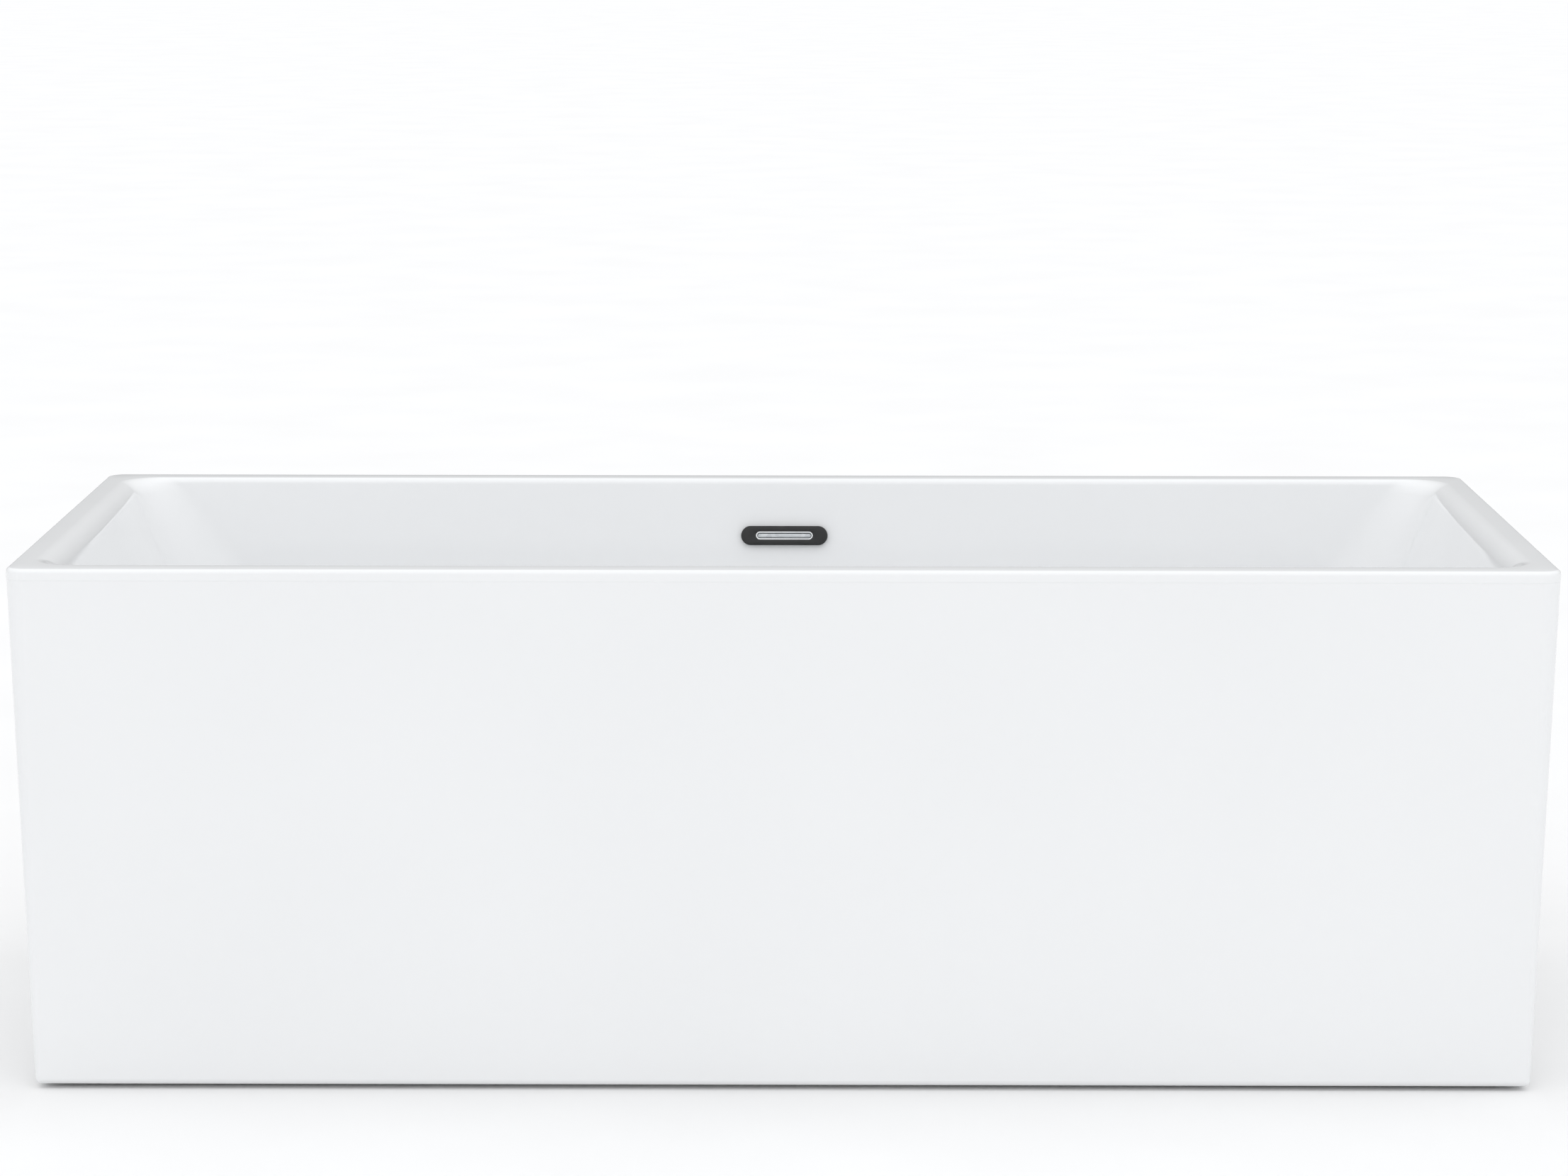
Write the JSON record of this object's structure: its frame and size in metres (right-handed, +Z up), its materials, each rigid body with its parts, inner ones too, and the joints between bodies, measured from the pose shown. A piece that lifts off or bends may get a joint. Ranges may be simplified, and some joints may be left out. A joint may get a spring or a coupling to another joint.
{
  "type": "freestanding bathtub",
  "caption": "Rectangular freestanding acrylic bathtub with flat thin rim, tapered skirt, slot overflow, push waste, trap and levelling feet on a steel frame.",
  "frame": {"origin": "on the floor, under the middle of the tub", "axes": "+X along the tub's length, +Y towards the long side that holds the overflow, +Z up"},
  "size_m": [1.7, 0.75, 0.59],
  "materials": {
    "white_acrylic": "gloss",
    "black_metal": "satin black coating",
    "chrome": "polished",
    "zinc": "zinc plated",
    "rubber": "matt black",
    "grey_plastic": "moulded grey",
    "white_plastic": "moulded white",
    "black_nylon": "moulded black",
    "plywood": "bare sheet",
    "brass": "turned"
  },
  "bodies": {
    "tub": {"basin_shell": "white_acrylic", "outer_skirt": "white_acrylic", "rim_bond_bead": "white_plastic", "base_board": "plywood", "frame_rail_front": "zinc", "frame_rail_back": "zinc", "frame_cross_left": "zinc", "frame_cross_middle": "zinc", "frame_cross_right": "zinc", "frame_screw_front_left": "zinc", "skirt_bracket_front_left": "zinc", "frame_screw_front_right": "zinc", "skirt_bracket_front_right": "zinc", "frame_screw_back_left": "zinc", "skirt_bracket_back_left": "zinc", "frame_screw_back_right": "zinc", "skirt_bracket_back_right": "zinc", "foot_front_left_weld_nut": "zinc", "foot_front_left_lock_nut": "zinc", "foot_front_right_weld_nut": "zinc", "foot_front_right_lock_nut": "zinc", "foot_back_left_weld_nut": "zinc", "foot_back_left_lock_nut": "zinc", "foot_back_right_weld_nut": "zinc", "foot_back_right_lock_nut": "zinc", "foot_middle_weld_nut": "zinc", "foot_middle_lock_nut": "zinc", "waste_top_gasket": "rubber", "waste_flange": "chrome", "waste_lower_gasket": "rubber", "waste_tee": "grey_plastic", "waste_spring": "zinc", "trap_body": "grey_plastic", "trap_washer": "rubber", "trap_union_nut": "grey_plastic", "overflow_cover": "black_metal", "overflow_liner": "chrome", "overflow_retainer": "zinc", "overflow_gasket": "rubber", "overflow_body": "grey_plastic", "overflow_screw_left": "zinc", "overflow_screw_right": "zinc", "overflow_hose": "white_plastic", "overflow_hose_clip_top": "zinc", "overflow_hose_clip_bottom": "zinc"},
    "plug": {"waste_cap": "chrome", "waste_cap_seal": "rubber", "waste_plunger": "brass"},
    "foot_front_left": {"foot_front_left_pad": "black_nylon"},
    "foot_front_left_screw": {"foot_front_left_stud": "zinc"},
    "foot_front_right": {"foot_front_right_pad": "black_nylon"},
    "foot_front_right_screw": {"foot_front_right_stud": "zinc"},
    "foot_back_left": {"foot_back_left_pad": "black_nylon"},
    "foot_back_left_screw": {"foot_back_left_stud": "zinc"},
    "foot_back_right": {"foot_back_right_pad": "black_nylon"},
    "foot_back_right_screw": {"foot_back_right_stud": "zinc"},
    "foot_middle": {"foot_middle_pad": "black_nylon"},
    "foot_middle_screw": {"foot_middle_stud": "zinc"}
  },
  "joints": [
    {"name": "plug_push", "type": "slide", "parent": "tub", "child": "plug", "axis": [0, 0, 1], "range_m": [-0.009, 0], "deforming": ["waste_spring"]},
    {"name": "foot_front_left_lift", "type": "slide", "parent": "tub", "child": "foot_front_left", "axis": [0, 0, 1], "range_m": [-0.012, 0.008]},
    {"name": "foot_front_left_turn", "type": "hinge", "parent": "foot_front_left", "child": "foot_front_left_screw", "pos_m": [-0.47, -0.255, 0], "axis": [0, 0, 1], "range_deg": [-2470, 1647]},
    {"name": "foot_front_right_lift", "type": "slide", "parent": "tub", "child": "foot_front_right", "axis": [0, 0, 1], "range_m": [-0.012, 0.008]},
    {"name": "foot_front_right_turn", "type": "hinge", "parent": "foot_front_right", "child": "foot_front_right_screw", "pos_m": [0.47, -0.255, 0], "axis": [0, 0, 1], "range_deg": [-2470, 1647]},
    {"name": "foot_back_left_lift", "type": "slide", "parent": "tub", "child": "foot_back_left", "axis": [0, 0, 1], "range_m": [-0.012, 0.008]},
    {"name": "foot_back_left_turn", "type": "hinge", "parent": "foot_back_left", "child": "foot_back_left_screw", "pos_m": [-0.47, 0.255, 0], "axis": [0, 0, 1], "range_deg": [-2470, 1647]},
    {"name": "foot_back_right_lift", "type": "slide", "parent": "tub", "child": "foot_back_right", "axis": [0, 0, 1], "range_m": [-0.012, 0.008]},
    {"name": "foot_back_right_turn", "type": "hinge", "parent": "foot_back_right", "child": "foot_back_right_screw", "pos_m": [0.47, 0.255, 0], "axis": [0, 0, 1], "range_deg": [-2470, 1647]},
    {"name": "foot_middle_lift", "type": "slide", "parent": "tub", "child": "foot_middle", "axis": [0, 0, 1], "range_m": [-0.012, 0.008]},
    {"name": "foot_middle_turn", "type": "hinge", "parent": "foot_middle", "child": "foot_middle_screw", "pos_m": [-0.15, -0.08, 0], "axis": [0, 0, 1], "range_deg": [-2470, 1647]}
  ],
  "couplings": [
    {"joint": "foot_front_left_turn", "follows": "foot_front_left_lift", "rad_per_m": 3590.4},
    {"joint": "foot_front_right_turn", "follows": "foot_front_right_lift", "rad_per_m": 3590.4},
    {"joint": "foot_back_left_turn", "follows": "foot_back_left_lift", "rad_per_m": 3590.4},
    {"joint": "foot_back_right_turn", "follows": "foot_back_right_lift", "rad_per_m": 3590.4},
    {"joint": "foot_middle_turn", "follows": "foot_middle_lift", "rad_per_m": 3590.4}
  ]
}
